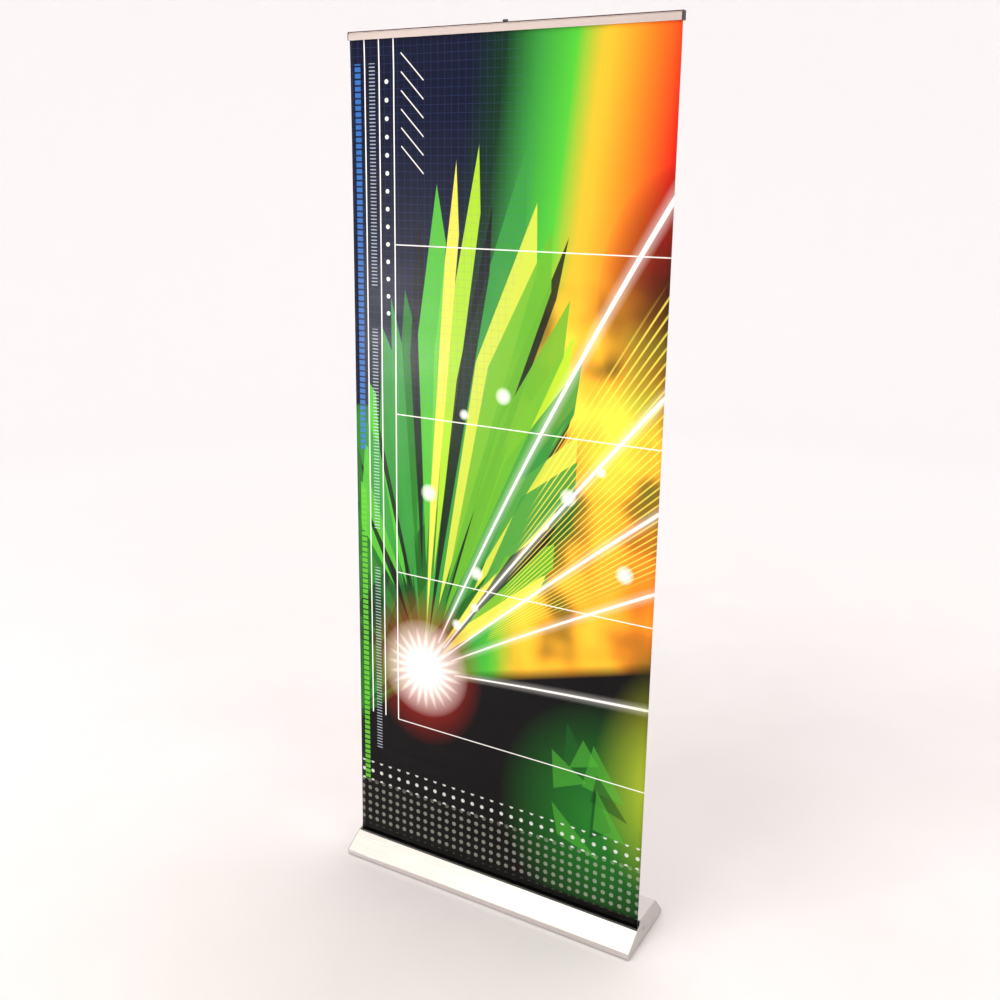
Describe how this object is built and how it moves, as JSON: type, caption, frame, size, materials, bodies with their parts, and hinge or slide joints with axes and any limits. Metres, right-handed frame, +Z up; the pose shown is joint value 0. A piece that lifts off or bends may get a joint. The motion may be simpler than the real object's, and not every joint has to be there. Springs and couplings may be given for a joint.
{
  "type": "roll-up banner stand",
  "caption": "Free-standing roll-up banner stand: wedge-shaped cassette with a spring roller, printed graphic, snap-open top rail and telescopic pole.",
  "frame": {"origin": "middle of the stand's footprint, on the floor", "axes": "+X along the cassette, -Y the side the graphic faces, +Z up"},
  "size_m": [0.8122, 0.202, 2.076],
  "materials": {
    "housing_aluminium": "satin anodised",
    "fascia_aluminium": "satin anodised",
    "cap_grey": "satin grey paint",
    "black_plastic": "matte black",
    "brush_fibre": "black bristle",
    "steel": "bright zinc",
    "spring_steel": "oiled",
    "pad_rubber": "matte",
    "printed_film": "glossy printed film",
    "leader_film": "plain white film",
    "grey_plastic": "moulded",
    "hook_plastic": "moulded dark grey",
    "pole_aluminium": "satin anodised",
    "roller_aluminium": "mill finish",
    "rail_dark": "dark bronze",
    "rail_silver": "satin anodised, fine lines",
    "rail_cap_plastic": "moulded"
  },
  "bodies": {
    "base": {"base_housing": "housing_aluminium", "front_fascia": "fascia_aluminium", "slot_lip_front": "black_plastic", "slot_brush_rear": "brush_fibre", "end_cap_left": "cap_grey", "end_cap_right": "cap_grey", "end_cap_screws": "steel", "foot_pads": "pad_rubber", "idler_pin": "steel", "spring_shaft": "steel", "torsion_spring": "spring_steel", "graphic_lead": "printed_film", "pole_socket": "black_plastic", "socket_screws": "steel", "pole_foot_plug": "grey_plastic", "pole_lower_tube": "pole_aluminium", "lower_lock_collet": "grey_plastic"},
    "roller": {"roller_tube": "roller_aluminium", "roller_plug_idler": "grey_plastic", "roller_plug_spring": "grey_plastic", "spring_anchor": "grey_plastic", "leader_wound": "leader_film"},
    "rail": {"rail_body": "rail_dark", "rail_end_cap_left": "rail_cap_plastic", "rail_end_cap_right": "rail_cap_plastic", "rail_gripper": "pad_rubber", "graphic_panel": "printed_film"},
    "rail_jaw": {"rail_jaw": "rail_silver"},
    "lower_lock": {"lower_lock_sleeve": "black_plastic"},
    "pole_middle": {"pole_middle_tube": "pole_aluminium", "middle_bush": "grey_plastic", "upper_lock_collet": "grey_plastic"},
    "upper_lock": {"upper_lock_sleeve": "black_plastic"},
    "pole_upper": {"pole_upper_tube": "pole_aluminium", "upper_bush": "grey_plastic", "pole_top_hook": "hook_plastic"}
  },
  "joints": [
    {"name": "rail_slide", "type": "slide", "parent": "base", "child": "rail", "axis": [0, 0, 1], "range_m": [-1.24, 0], "deforming": ["graphic_panel"]},
    {"name": "roller_spin", "type": "hinge", "parent": "base", "child": "roller", "pos_m": [0, -0.0154, 0.0325], "axis": [1, 0, 0], "range_deg": [0, 3950]},
    {"name": "pole_middle_slide", "type": "slide", "parent": "base", "child": "pole_middle", "axis": [0, 0, 1], "range_m": [-0.62, 0]},
    {"name": "pole_upper_slide", "type": "slide", "parent": "pole_middle", "child": "pole_upper", "axis": [0, 0, 1], "range_m": [-0.62, 0]},
    {"name": "rail_jaw_open", "type": "hinge", "parent": "rail", "child": "rail_jaw", "pos_m": [0, 0.0008, 2.0671], "axis": [-1, 0, 0], "range_deg": [0, 70]},
    {"name": "lower_lock_turn", "type": "hinge", "parent": "base", "child": "lower_lock", "pos_m": [0, 0.026, 0.72], "axis": [0, 0, 1], "range_deg": [0, 90]},
    {"name": "upper_lock_turn", "type": "hinge", "parent": "pole_middle", "child": "upper_lock", "pos_m": [0, 0.026, 1.395], "axis": [0, 0, 1], "range_deg": [0, 90]}
  ],
  "couplings": [
    {"joint": "roller_spin", "follows": "rail_slide", "rad_per_m": -55.5},
    {"joint": "pole_middle_slide", "follows": "rail_slide", "ratio": 0.5},
    {"joint": "pole_upper_slide", "follows": "rail_slide", "ratio": 0.5}
  ]
}
